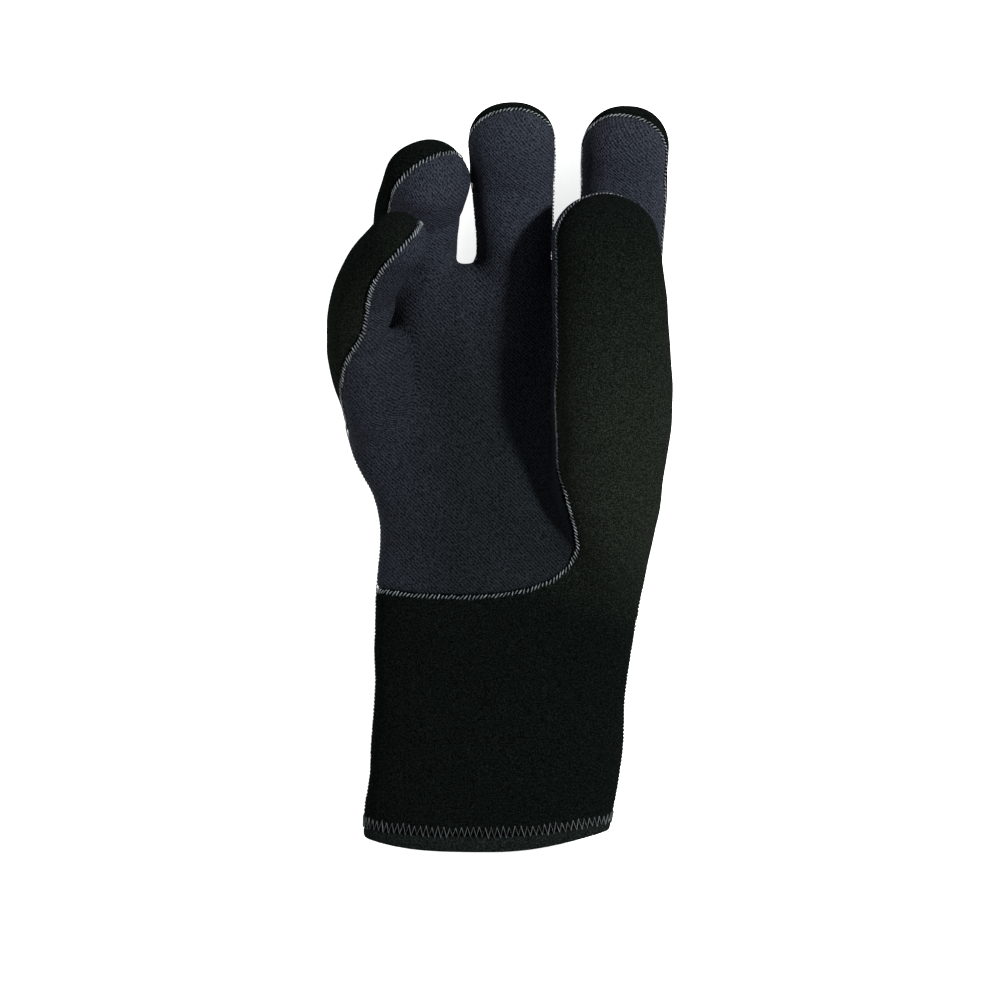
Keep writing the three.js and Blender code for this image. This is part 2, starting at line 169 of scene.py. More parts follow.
# The limbs. root is across as a share of HAND_WIDTH, along as a share of HAND_LENGTH from the
# wrist and up as a share of HAND_HEIGHT. The rows follow the spine: along is a share of the
# length, rise its slope, swing its turn towards the thumb, roll the turn of its palm side, and
# width and depth are shares of the gauge. seam is a share of the half depth.
LIMB_COLUMNS = ("along", "rise", "swing", "roll", "width", "depth")
LIMBS = {
    "little": {
        "length": 112.0, "gauge": FINGER_WIDTH, "seam": 0.1, "root": (-0.345, 0.4, 0.42),
        "rows": (
            (0.0, 18, -17, 4, 0.62, 0.66),
            (0.2, 24, -15, 8, 0.88, 0.84),
            (0.42, 33, -7, 46, 0.91, 0.84),
            (0.6, 43, 9, 88, 0.87, 0.79),
            (0.8, 44, 38, 98, 0.79, 0.71),
            (1.0, 30, 56, 100, 0.72, 0.66),
        ),
    },
    "ring": {
        "length": 107.0, "gauge": FINGER_WIDTH, "seam": -0.02, "root": (-0.24, 0.56, 0.42),
        "rows": (
            (0.0, 10, -4, 10, 0.76, 0.7),
            (0.2, 12, -4, 20, 0.9, 0.86),
            (0.45, 17, -4, 34, 0.88, 0.87),
            (0.65, 30, 5, 44, 0.95, 0.91),
            (0.84, 49, 22, 52, 0.98, 0.92),
            (1.0, 54, 28, 52, 0.93, 0.87),
        ),
    },
    "middle": {
        "length": 119.2, "gauge": FINGER_WIDTH, "seam": 0.1, "root": (0.023, 0.56, 0.42),
        "rows": (
            (0.0, 12, 4, 4, 0.78, 0.7),
            (0.2, 14, 4, 5, 0.88, 0.86),
            (0.4, 15, 2, 6, 0.84, 0.87),
            (0.62, 22, -1, 4, 0.9, 0.9),
            (0.84, 31, -3, 0, 0.99, 0.93),
            (1.0, 35, -3, -2, 0.96, 0.89),
        ),
    },
    "index": {
        "length": 114.0, "gauge": FINGER_WIDTH, "seam": 0.2, "root": (0.36, 0.56, 0.4),
        "rows": (
            (0.0, 6, 5, -3, 0.78, 0.7),
            (0.2, 5, 5, -3, 0.98, 0.88),
            (0.48, 6, 4, -5, 1.0, 0.9),
            (0.7, 14, 3, -6, 1.02, 0.93),
            (0.86, 30, 1, -8, 1.01, 0.95),
            (1.0, 38, 0, -8, 0.97, 0.92),
        ),
    },
    "thumb": {
        "length": 156.0, "gauge": THUMB_WIDTH, "seam": 0.05, "root": (0.34, -0.02, 0.42),
        "rows": (
            (0.0, 20, 4, -150, 0.62, 0.64),
            (0.15, 24, 3, -152, 0.88, 0.86),
            (0.34, 24, 3, -154, 1.13, 0.92),
            (0.52, 18, 0, -155, 1.19, 0.96),
            (0.68, 10, -3, -155, 1.15, 0.92),
            (0.85, 5, -4, -155, 1.06, 0.88),
            (1.0, 2, -2, -155, 0.98, 0.84),
        ),
    },
}

# The palm seam, from the wrist's outer side to the web of the thumb: across is a share of
# HAND_WIDTH and along a share of HAND_LENGTH from the wrist.
PALM_SEAM = (
    (-0.9, 0.01), (-0.41, 0.004), (-0.27, -0.011), (-0.1, -0.016), (0.01, -0.008),
    (0.1, 0.008), (0.175, 0.035), (0.228, 0.075), (0.256, 0.13), (0.246, 0.19),
    (0.225, 0.26), (0.203, 0.34), (0.188, 0.42), (0.184, 0.49),
)

# Between these shares of its length the thumb's seam leaves the palm seam for its own side.
THUMB_SEAM_SPAN = (0.3, 0.46)

# The corners that close the palm seam's outline lie this far out, in millimetres.
OUTSIDE = 300.0

# Creases round the limbs. along is a share of the length, lean is how far the crease runs
# forward from side to side, depth and width are in millimetres, and spread is how far it reaches
# round from the middle of the palm side, in degrees.
LIMB_CREASES = {
    "little": ((0.47, 0.1, 1.0, 3.0, 60), (0.68, 0.0, 1.0, 3.2, 60)),
    "ring": ((0.5, 0.1, 0.9, 3.0, 55), (0.72, 0.0, 0.9, 3.0, 55)),
    "middle": ((0.5, 0.0, 0.6, 3.5, 55), (0.74, 0.0, 0.6, 3.5, 55)),
    "index": ((0.56, 0.0, 0.5, 3.5, 55), (0.78, 0.0, 0.6, 3.5, 55)),
    "thumb": ((0.6, 0.0, 0.6, 4.0, 60),),
}

# Creases of the hand: two ends, as shares of HAND_WIDTH across and of HAND_LENGTH along, and
# depth and width in millimetres.
HAND_CREASES = (
    ((-0.39, 0.8), (-0.28, 0.97), 2.2, 5.0),
    ((-0.42, 0.77), (-0.38, 0.82), 3.6, 6.5),
    ((-0.2, 0.72), (0.3, 0.66), 0.7, 5.0),
    ((-0.3, 0.4), (0.05, 0.12), 0.6, 6.0),
)

# The heights between which the hand's creases reach, and over which they fade, in millimetres.
CREASE_RISE = (SIDE_SEAM_Z, 46.0)
CREASE_FADE = 8.0

# Low uneven waves of the whole glove: their lengths and heights in millimetres, the first one's
# lean and the turn to each next one in radians, their shifts for each millimetre of height, the
# turn of the waves across them as a share, and the height in millimetres over which they grow.
WAVES = ((61.0, 0.5), (37.0, 0.28), (23.0, 0.12))
WAVE_LEAN = 0.7
WAVE_TURN = 0.9
WAVE_SHIFTS = (0.6, -0.4)
WAVE_CROSSING = 0.8
WAVE_FADE = 4.0


def smoothstep(low, high, value):
    """A smooth rise from 0 at low to 1 at high."""
    share = np.clip((value - low) / (high - low), 0, 1)
    return share * share * (3 - 2 * share)


def soft_min(a, b, soft):
    """The lesser of two fields, blended where they come within soft of each other."""
    near = np.clip(soft - np.abs(a - b), 0, None)
    return np.minimum(a, b) - near * near / (4 * soft)


def soft_max(a, b, soft):
    """The greater of two fields, blended in the same way."""
    return -soft_min(-a, -b, soft)


def unit(vectors):
    """Vectors made one long."""
    return vectors / (np.linalg.norm(vectors, axis=-1, keepdims=True) + FAINT)


def on_hand(across, along):
    """A place in plan from shares of the hand's width and length."""
    return np.array([across * HAND_WIDTH, WRIST_Y + along * HAND_LENGTH])


def from_line(x, y, a, b):
    """The distance in plan to the straight line between two places."""
    run = b - a
    t = np.clip(((x - a[0]) * run[0] + (y - a[1]) * run[1]) / (run @ run), 0, 1)
    return np.hypot(x - a[0] - t * run[0], y - a[1] - t * run[1])


def rows_at(rows, places):
    """The columns of a table at places along it, on smooth curves, as a dict of arrays."""
    marks = rows["along"]
    spots = np.clip(places, marks[0], marks[-1])
    after = np.clip(np.searchsorted(marks, spots, side="left"), 1, len(marks) - 1)
    before = after - 1
    last = np.clip(before - 1, 0, None)
    following = np.clip(after + 1, None, len(marks) - 1)
    span = marks[after] - marks[before]
    t = (spots - marks[before]) / span
    found = {}
    for key, column in rows.items():
        a, b = column[before], column[after]
        slope_a = (b - column[last]) / (marks[after] - marks[last]) * span
        slope_b = (column[following] - a) / (marks[following] - marks[before]) * span
        found[key] = (
            a * (2 * t**3 - 3 * t**2 + 1)
            + slope_a * (t**3 - 2 * t**2 + t)
            + b * (3 * t**2 - 2 * t**3)
            + slope_b * (t**3 - t**2)
        )
    return found


def body_rows():
    """The sections of the cuff and the hand in millimetres, in one table along Y."""
    rows = []
    for row in CUFF_SECTIONS:
        named = dict(zip(CUFF_COLUMNS, row))
        flat = dict.fromkeys(("low", "cup", "ball", "bank"), 0.0)
        rows.append(({**named, **flat}, CUFF_LENGTH, CUFF_WIDTH, CUFF_HEIGHT))
    for row in HAND_SECTIONS:
        rows.append((dict(zip(HAND_COLUMNS, row)), HAND_LENGTH, HAND_WIDTH, HAND_HEIGHT))
    table = {key: [] for key in HAND_COLUMNS}
    for row, length, width, height in rows:
        table["along"].append(WRIST_Y + row["along"] * length)
        table["left"].append(row["left"] * width)
        table["right"].append(row["right"] * width)
        for key in ("top", "low", "cup", "ball", "bank"):
            table[key].append(row[key] * height)
    table["low"] = [low - BACK_PRESS for low in table["low"]]
    return {key: np.array(column) for key, column in table.items()}


BODY_ROWS = body_rows()


class Grid:
    """The points of a box, one step apart."""

    def __init__(self, low, high):
        self.low = np.array(low, float)
        self.counts = np.ceil((np.array(high) - self.low) / STEP).astype(int) + 1
        self.axes = [self.low[k] + STEP * np.arange(self.counts[k]) for k in range(3)]

    def planes(self):
        """The coordinates along each axis, shaped to combine into fields."""
        x, y, z = self.axes
        return x[:, None, None], y[None, :, None], z[None, None, :]

    def part(self, low, high):
        """The slices of the grid that hold a box, and the points in them."""
        first = np.clip(np.floor((low - self.low) / STEP).astype(int), 0, self.counts - 1)
        last = np.clip(np.ceil((high - self.low) / STEP).astype(int) + 1, 1, self.counts)
        spans = tuple(slice(first[k], last[k]) for k in range(3))
        axes = [self.axes[k][spans[k]] for k in range(3)]
        points = np.stack(np.meshgrid(*axes, indexing="ij"), axis=-1)
        return spans, points


def sample(field, grid, points):
    """A field's values at points, between the grid's own."""
    spots = np.clip((points - grid.low) / STEP, 0, grid.counts - 1 - GRID_EDGE)
    base = spots.astype(int)
    i, j, k = base[..., 0], base[..., 1], base[..., 2]
    shares = (1 - (spots - base), spots - base)
    total = 0
    for di, dj, dk in CORNERS:
        share = shares[di][..., 0] * shares[dj][..., 1] * shares[dk][..., 2]
        total = total + share * field[i + di, j + dj, k + dk]
    return total


def slope(field, grid, points, reach=SLOPE_REACH):
    """The gradient of a field at points."""
    parts = []
    for axis in np.eye(3):
        ahead = sample(field, grid, points + reach * axis)
        behind = sample(field, grid, points - reach * axis)
        parts.append((ahead - behind) / (2 * reach))
    return np.stack(parts, axis=-1)


def rounded(shares, sizes, power):
    """How far out of a rounded section each point is, as a share, and the square of its slope."""
    total = sum(np.abs(share) ** power for share in shares)
    size = np.maximum(total, TINY) ** (1 / power)
    steep = 0
    for share, half in zip(shares, sizes):
        steep = steep + ((np.abs(share) / size) ** (power - 1) / half) ** 2
    return size, steep


def body_field(grid, inset):
    """The distance to the cuff and hand, and how far along Y each point is."""
    x, y, z = grid.planes()
    plan_x, plan_y = x[:, :, 0], y[:, :, 0]
    row = rows_at(BODY_ROWS, plan_y)
    across = (plan_x - (row["left"] + row["right"]) / 2) / ((row["right"] - row["left"]) / 2)
    faded = np.clip((plan_y - CUFF_EDGE) / (SWEEP_FADE * CUFF_LENGTH), 0, 1)
    sweep = np.where(across < 0, SWEEP_LEFT, SWEEP_RIGHT) * CUFF_LENGTH
    power = np.where(across < 0, SWEEP_POWER_LEFT, SWEEP_POWER_RIGHT)
    lifted = sweep * np.clip(np.abs(across), 0, SIDE_HELD) ** power * (1 - faded) ** 2
    along = plan_y - lifted
    row = rows_at(BODY_ROWS, along)
    half_width = (row["right"] - row["left"]) / 2 - inset
    across = (plan_x - (row["left"] + row["right"]) / 2) / half_width
    held = np.clip(across, -SIDE_HELD, SIDE_HELD)
    ball = row["ball"] * ((1 + held) / 2) ** 2
    shaped = ball - row["cup"] * np.clip(1 - held**2, 0, 1) ** 2
    half_height = (row["top"] - row["low"]) / 2 - inset
    centre = (row["top"] + row["low"]) / 2 - row["bank"] * held
    rise = z - centre[:, :, None]
    reach = np.where(rise > 0, (half_height + shaped)[:, :, None], half_height[:, :, None])
    up = rise / reach
    size, steep = rounded((across[:, :, None], up), (half_width[:, :, None], reach), BODY_POWER)
    walls = (size - 1) / np.sqrt(steep)
    end = along[:, :, None] - (HAND_END - inset)
    return soft_max(walls, end, END_SOFT), along


class Limb:
    """A finger or the thumb: its spine, and the fields round it."""

    STATIONS = 60

    # The farthest that the cloth lies from the spine, as a share of the gauge.
    REACH = 0.65

    def __init__(self, name):
        facts = LIMBS[name]
        self.length = facts["length"]
        self.gauge = facts["gauge"]
        self.seam = facts["seam"]
        table = np.array(facts["rows"], float)
        rows = {key: table[:, k] for k, key in enumerate(LIMB_COLUMNS)}
        across, along, up = facts["root"]
        place = np.array([*on_hand(across, along), up * HAND_HEIGHT])
        shares = np.arange(self.STATIONS + 1) / self.STATIONS
        row = rows_at(rows, shares)
        rise, swing, roll = (np.radians(row[key]) for key in ("rise", "swing", "roll"))
        flat = np.zeros_like(rise)
        forward = np.stack(
            [np.sin(swing) * np.cos(rise), np.cos(swing) * np.cos(rise), np.sin(rise)], axis=1
        )
        upward = np.stack(
            [-np.sin(swing) * np.sin(rise), -np.cos(swing) * np.sin(rise), np.cos(rise)], axis=1
        )
        sideways = np.stack([np.cos(swing), -np.sin(swing), flat], axis=1)
        self.palm = upward * np.cos(roll)[:, None] + sideways * np.sin(roll)[:, None]
        self.side = np.cross(forward, self.palm)
        self.forward = forward
        moves = np.cumsum(forward[:-1], axis=0) * self.length / self.STATIONS
        self.places = place + np.vstack([np.zeros(3), moves])
        self.half_width = row["width"] * self.gauge / 2
        self.half_depth = row["depth"] * self.gauge / 2
        self.round = TIP_ROUND * self.half_width[-1]
        # The spine's last station before the round of the tip.
        self.last = int(round((self.length - self.round) / self.length * self.STATIONS))

    def bounds(self, margin):
        """The corners of a box round the limb, with a margin."""
        reach = self.gauge * self.REACH + margin
        return self.places.min(0) - reach, self.places.max(0) + reach

    def coordinates(self, points):
        """For each point, its place along the spine in millimetres and its offsets there."""
        flat = points.reshape(-1, 3).astype(np.float32)
        nearest = np.full(len(flat), np.inf, np.float32)
        spot = np.zeros(len(flat), np.float32)
        for i in range(self.last):
            start = self.places[i].astype(np.float32)
            run = (self.places[i + 1] - self.places[i]).astype(np.float32)
            rel = flat - start
            t = np.clip(rel @ run / (run @ run), 0, 1)
            rel -= t[:, None] * run
            away = np.einsum("ij,ij->i", rel, rel)
            closer = away < nearest
            nearest[closer] = away[closer]
            spot[closer] = i + t[closer]
        base = np.clip(spot.astype(int), 0, self.last - 1)
        t = (spot - base)[:, None]

        def between(values):
            return values[base] * (1 - t) + values[base + 1] * t

        rel = flat - between(self.places)

        def towards(directions):
            return np.einsum("ij,ij->i", rel, between(directions))

        found = {
            "along": spot * self.length / self.STATIONS,
            "across": towards(self.side),
            "deep": towards(self.palm),
            "past": towards(self.forward),
            "half_width": between(self.half_width[:, None])[:, 0],
            "half_depth": between(self.half_depth[:, None])[:, 0],
        }
        found["past"] *= (spot <= 0) | (spot >= self.last)
        shape = points.shape[:-1]
        return {key: value.reshape(shape) for key, value in found.items()}

    def distance(self, at, inset):
        """The distance to the limb's surface, or to one that lies deeper by the inset."""
        half_width = at["half_width"] - inset
        half_depth = at["half_depth"] - inset
        shares = (at["across"] / half_width, at["deep"] / half_depth)
        size, steep = rounded(shares, (half_width, half_depth), LIMB_POWER)
        cap = self.round - inset
        past = at["past"] / cap
        whole = np.sqrt(size**2 + past**2)
        return (whole - 1) / np.sqrt((size / whole) ** 2 * steep + (past / whole / cap) ** 2)


def limb_creases(name, limb, at):
    """How deep a limb's creases press at each point."""
    angle = np.degrees(np.arctan2(at["across"], at["deep"]))
    total = 0
    for along, lean, depth, width, spread in LIMB_CREASES[name]:
        away = at["along"] - along * limb.length - lean * at["across"]
        total = total + depth * np.exp(-((away / width) ** 2) - (angle / spread) ** 2)
    return total


def hand_creases(grid):
    """How deep the hand's creases press at each point."""
    x, y, z = grid.planes()
    total = 0
    for start, end, depth, width in HAND_CREASES:
        away = from_line(x, y, on_hand(*start), on_hand(*end))
        total = total + depth * np.exp(-((away / width) ** 2))
    low, high = CREASE_RISE
    fade = CREASE_FADE
    return total * smoothstep(low, low + fade, z) * (1 - smoothstep(high, high + fade, z))


def waves(grid):
    """How deep the low waves of the whole glove press at each point."""
    x, y, z = grid.planes()
    total = 0
    for number, (length, height) in enumerate(WAVES):
        turn = 2 * math.pi / length
        lean = WAVE_LEAN + WAVE_TURN * number
        u = x * math.cos(lean) + y * math.sin(lean) + WAVE_SHIFTS[0] * z
        v = y * math.cos(lean) - x * math.sin(lean) + WAVE_SHIFTS[1] * z
        across = np.sin(WAVE_CROSSING * turn * v + 2 * number)
        total = total + height * np.sin(turn * u + number) * across
    return total


def palm_side(grid):
    """The distance to the palm seam in plan: negative on the cuff and the ball of the thumb."""
    x, y, _ = grid.planes()
    x, y = np.broadcast_arrays(x[:, :, 0], y[:, :, 0])
    seam = [on_hand(*shares) for shares in PALM_SEAM]
    corners = ((OUTSIDE, seam[-1][1]), (OUTSIDE, -OUTSIDE), (-OUTSIDE, -OUTSIDE))
    outline = np.array([*seam, *corners])
    nearest = np.full(x.shape, np.inf)
    inside = np.zeros(x.shape, bool)
    for a, b in zip(outline, np.roll(outline, -1, axis=0)):
        run = b - a
        nearest = np.minimum(nearest, from_line(x, y, a, b))
        crosses = (a[1] > y) != (b[1] > y)
        meets = a[0] + (y - a[1]) * run[0] / np.where(run[1] == 0, 1, run[1])
        inside ^= crosses & (x < meets)
    return np.where(inside, -nearest, nearest)[:, :, None]


def add_limb(name, grid, seam, sums):
    """Joins a limb to the walls, and adds it to the sums of the other fields."""
    limb = Limb(name)
    spans, points = grid.part(*limb.bounds(JOIN_SOFT))
    at = limb.coordinates(points)
    distance = np.minimum(limb.distance(at, 0.0), FAR)
    creased = distance + limb_creases(name, limb, at)
    sums["limbs"][spans] = soft_min(sums["limbs"][spans], creased, CROTCH_SOFT)
    sums["inner"][spans] = soft_min(sums["inner"][spans], limb.distance(at, WALL), CROTCH_SOFT)
    close = np.exp(-np.clip(distance, 0, FAR) / CLOSENESS)
    free = smoothstep(*CROTCH_SPAN, at["along"] / limb.length)
    sums["nearness"][spans] += close
    sums["softness"][spans] += close * (JOIN_SOFT + (CROTCH_SOFT - JOIN_SOFT) * free)
    share = np.exp(-np.clip(distance, -FAR, FAR) / HAND_OVER)
    sums["weight"][spans] += share
    level = at["deep"] - limb.seam * at["half_depth"]
    if name == "thumb":
        begin, end = (limb.length * edge for edge in THUMB_SEAM_SPAN)
        leaves = smoothstep(begin, end, at["along"])
        where = seam[spans[0], spans[1]]
        sums["side"][spans] += (points[..., 2] - SIDE_SEAM_Z) * share
        sums["palm"][spans] += (where * (1 - leaves) + level * leaves) * share
    else:
        sums["side"][spans] += level * share
        sums["palm"][spans] += FINGER_CLEAR * share
    around = np.arctan2(at["across"], at["deep"]) * np.hypot(at["across"], at["deep"])
    forward = at["along"] + at["past"]
    pull = share * smoothstep(*CLOTH_SPAN, at["along"] / limb.length)
    sums["drawn"][spans] += pull
    sums["cloth_across"][spans] += (limb.places[0][0] + around) * pull
    sums["cloth_along"][spans] += (limb.places[0][1] + forward) * pull


def make_fields():
    """The glove's outer and inner walls, its two seam fields and the run of its cloth."""
    low, high = (np.array(corner) / METRES for corner in CAD_BOX)
    grid = Grid(low - MARGIN, high + MARGIN)
    x, y, z = grid.planes()
    body, along = body_field(grid, 0.0)
    inner, _ = body_field(grid, WALL)
    seam = palm_side(grid)
    weight = np.exp(-np.clip(body, -FAR, FAR) / HAND_OVER)
    nearness = np.full(body.shape, FAINT)
    sums = {
        "limbs": np.full(body.shape, FAR),
        "inner": inner,
        "nearness": nearness,
        "softness": JOIN_SOFT * nearness,
        "side": (z - SIDE_SEAM_Z) * weight,
        "palm": seam * weight,
        "drawn": weight.copy(),
        "cloth_across": x * weight,
        "cloth_along": y * weight,
        "weight": weight,
    }
    for name in LIMBS:
        add_limb(name, grid, seam, sums)
    outer = soft_min(body, sums["limbs"], sums["softness"] / sums["nearness"])
    outer = outer + hand_creases(grid) + waves(grid) * smoothstep(0.0, WAVE_FADE, z)
    outer = soft_max(outer, np.broadcast_to(-z, outer.shape), TABLE_ROUND)
    inner = np.maximum(np.maximum(sums["inner"], WALL - z), outer + THINNEST)
    runs = [sums[key] / sums["drawn"] for key in ("cloth_across", "cloth_along")]
    return {
        "grid": grid,
        "outer": outer.astype(np.float32),
        "inner": inner.astype(np.float32),
        "side": (sums["side"] / sums["weight"]).astype(np.float32),
        "palm": (sums["palm"] / sums["weight"]).astype(np.float32),
        "along": along[:, :, None],
        "cloth": [run.astype(np.float32) for run in runs],
    }


def surface(field, grid):
    """A closed mesh of quads where a field crosses zero: its points and its faces."""
    inside = field < 0
    count = np.zeros(tuple(n - 1 for n in field.shape), np.int8)
    shape = count.shape

    def shifted(array, step):
        return array[tuple(slice(first, first + size) for first, size in zip(step, shape))]

    for corner in CORNERS:
        count += shifted(inside, corner)
    cells = np.argwhere((count > 0) & (count < 8))
    number = np.full(shape, -1, np.int64)
    number[tuple(cells.T)] = np.arange(len(cells))
    total = np.zeros((len(cells), 3))
    crossings = np.zeros(len(cells))
    for corner in CORNERS:
        for axis in range(3):
            if corner[axis]:
                continue
            other = list(corner)
            other[axis] = 1
            a = field[tuple((cells + corner).T)]
            b = field[tuple((cells + other).T)]
            crossed = (a < 0) != (b < 0)
            t = np.where(crossed, a / np.where(crossed, a - b, 1), 0)
            spot = np.tile(np.array(corner, float), (len(cells), 1))
            spot[:, axis] += t
            total += spot * crossed[:, None]
            crossings += crossed
    points = grid.low + STEP * (cells + total / crossings[:, None])
    faces = []
    for axis in range(3):
        u, v = [k for k in range(3) if k != axis]
        low_end = [slice(1, -1)] * 3
        low_end[axis] = slice(0, -1)
        high_end = [slice(1, -1)] * 3
        high_end[axis] = slice(1, None)
        a = inside[tuple(low_end)]
        b = inside[tuple(high_end)]
        edges = np.argwhere(a != b)
        ring = []
        for du, dv in ((0, 0), (1, 0), (1, 1), (0, 1)):
            cell = edges.copy()
            cell[:, u] += du
            cell[:, v] += dv
            ring.append(number[tuple(cell.T)])
        quad = np.stack(ring, axis=1)
        outward = a[tuple(edges.T)]
        if axis == 1:
            outward = ~outward
        quad[~outward] = quad[~outward][:, ::-1]
        faces.append(quad)
    return points, np.concatenate(faces)


def settled(points, faces, field, grid):
    """The points of a mesh, evened out and laid on the field's surface."""
    for _ in range(SETTLE_ROUNDS):
        total = np.zeros_like(points)
        count = np.zeros(len(points))
        for k in range(4):
            for other in (faces[:, (k + 1) % 4], faces[:, (k + 3) % 4]):
                np.add.at(total, faces[:, k], points[other])
                np.add.at(count, faces[:, k], 1)
        middle = total / np.maximum(count, 1)[:, None]
        points = points + SETTLE_SHARE * (middle - points)
        steep = slope(field, grid, points)
        size = np.maximum(np.einsum("ij,ij->i", steep, steep), SETTLE_STEEP)
        moved = (sample(field, grid, points) / size)[:, None] * steep
        points = points - np.clip(moved, -SETTLE_MOVE, SETTLE_MOVE)
    return points


def add_object(name, data):
    piece = bpy.data.objects.new(name, data)
    bpy.context.scene.collection.objects.link(piece)
    return piece


def mesh_object(name, points, faces, material):
    """A smooth-shaded object from points in millimetres and lists of corners."""
    mesh = bpy.data.meshes.new(name)
    mesh.from_pydata((np.array(points) * METRES).tolist(), [], faces)
    mesh.validate()
    mesh.shade_smooth()
    mesh.materials.append(material)
    return add_object(name, mesh)


def skin(name, field, grid, material):
    """A piece that fills a field's negative part, and its points in millimetres."""
    points, faces = surface(field, grid)
    points = settled(points, faces, field, grid)
    return mesh_object(name, points, faces.tolist(), material), points


def panel(name, fields, region, material, cuff=-FAR):
    """One panel of the glove: its wall where the region's and the cuff's fields are negative."""
    grid = fields["grid"]
    wall = np.maximum(soft_max(fields["outer"], region, SEAM_ROUND), -fields["inner"])
    wall = soft_max(wall, np.broadcast_to(cuff, wall.shape), HEM_ROUND)
    piece, points = skin(name, wall, grid, material)
    layer = piece.data.uv_layers.new(name="cloth")
    corner = np.zeros(len(piece.data.loops), np.int32)
    piece.data.loops.foreach_get("vertex_index", corner)
    runs = [sample(values, grid, points) for values in fields["cloth"]]
    layer.data.foreach_set("uv", np.stack(runs, axis=1)[corner].ravel())
    return piece


def panels(fields, looks):
    """The palm, thumb and back panels and the hem."""
    cut = SEAM_GAP / 2
    side, palm = fields["side"], fields["palm"]
    cuff = CUFF_EDGE + HEM_HEIGHT + SEAM_GAP - fields["along"]
    palm_region = soft_max(-side, -palm, SEAM_ROUND) + cut
    thumb_region = soft_max(-side, palm, SEAM_ROUND) + cut
    jersey = looks["jersey"]
    return {
        "palm_cloth": panel("palm_cloth", fields, palm_region, looks["knit"]),
        "thumb_cuff_cloth": panel("thumb_cuff_cloth", fields, thumb_region, jersey, cuff),
        "back_cloth": panel("back_cloth", fields, side + cut, jersey, cuff),
        "hem_band": hem_band(fields, looks["hem"]),
    }


def hem_band(fields, material):
    """The turned band round the cuff's opening, a little proud of the cuff and rounded."""
    along = fields["along"]
    ends = soft_max(CUFF_EDGE - along, along - (CUFF_EDGE + HEM_HEIGHT), HEM_ROUND)
    ends = np.broadcast_to(ends, fields["outer"].shape)
    walls = soft_max(fields["outer"] - HEM_PROUD, -fields["inner"], HEM_ROUND)
    _, _, z = fields["grid"].planes()
    band = np.maximum(soft_max(walls, ends, HEM_ROUND), -z)
    piece, _ = skin("hem_band", band, fields["grid"], material)
    return piece


# The threads, in millimetres: their radii, the pitch of the stitches and how far they reach to
# each side. A seam's stitches lean along it, lie aside of it and hump over it. The zigzag runs
# HEM_RISE above the hem and HEM_LIFT off the cloth. THREAD_REACH evens out the cloth's slope.
SEAM_THREAD = 0.22
SEAM_STITCH = 1.45
SEAM_HALF = 0.85
SEAM_LEAN = 0.7
SEAM_ASIDE = 0.8
SEAM_HUMP = 0.16
HEM_THREAD = 0.24
HEM_STITCH = 1.1
HEM_HALF = 2.0
HEM_RISE = 1.5
HEM_LIFT = 0.1
THREAD_REACH = 1.5

# The sides of a thread, and how thin its ends are, as a share of its radius.
THREAD_SIDES = 6
THREAD_END = 0.55

# How unevenly the stitches are sewn: the least and most shares, and millimetres to the side.
STITCH_SEED = 7
UNEVEN_HALF = (0.7, 1.2)
UNEVEN_LEAN = (0.5, 1.4)
UNEVEN_ASIDE = (-0.15, 0.15)
UNEVEN_ZIGZAG = (0.75, 1.15)

# How a seam is traced: the step and the longest correction in millimetres, the share of its
# heading that it keeps at each step, the rounds that find its start, and the most steps.
TRACE_STEP = 0.6
TRACE_MOVE = 1.0
TRACE_KEPT = 0.6
TRACE_START_ROUNDS = 12
TRACE_MOST = 4000

# The palm seam's trace starts inside the cuff's left side, at this share of it, and above the
# side seam. It ends past THUMB_SIDE. The hem's trace ends close to where it starts, and takes
# more than HEM_LEAST steps. All but the share and the steps are in millimetres.
PALM_START = 0.95
PALM_START_RISE = 6.0
THUMB_SIDE = 30.0
HEM_CLOSE = 0.4
HEM_LEAST = 50


def on_both(point, first, second, grid, rounds=3):
    """A point moved to where two fields are both zero, and the fields' slopes there."""
    for _ in range(rounds):
        spots = point[None]
        values = np.array([sample(first, grid, spots)[0], sample(second, grid, spots)[0]])
        steep = np.array([slope(first, grid, spots)[0], slope(second, grid, spots)[0]])
        square = steep @ steep.T + TINY * np.eye(2)
        move = steep.T @ np.linalg.solve(square, values)
        point = point - np.clip(move, -TRACE_MOVE, TRACE_MOVE)
    return point, steep


def trace(fields, second, start, heading, done, least=0):
    """The curve where the outer wall and a second field are both zero, until done says so."""
    first, grid = fields["outer"], fields["grid"]
    point, steep = on_both(np.array(start, float), first, second, grid, TRACE_START_ROUNDS)
    heading = np.array(heading, float)
    path = [point]
    for number in range(TRACE_MOST):
        along = unit(np.cross(steep[0], steep[1]))
        if along @ heading < 0:
            along = -along
        heading = unit(TRACE_KEPT * heading + (1 - TRACE_KEPT) * along)
        point, steep = on_both(point + TRACE_STEP * along, first, second, grid)
        path.append(point)
        if number > least and done(point):
            break
    return np.array(path)


def resampled(path, pitch):
    """An even number of points, evenly spaced along a path, with the path's direction at each."""
    lengths = np.linalg.norm(np.diff(path, axis=0), axis=1)
    travelled = np.concatenate([[0], np.cumsum(lengths)])
    count = 2 * round(travelled[-1] / pitch / 2)
    spots = (np.arange(count) + 0.5) / count * travelled[-1]
    points = np.stack([np.interp(spots, travelled, path[:, k]) for k in range(3)], axis=1)
    return points, unit(np.gradient(points, axis=0))


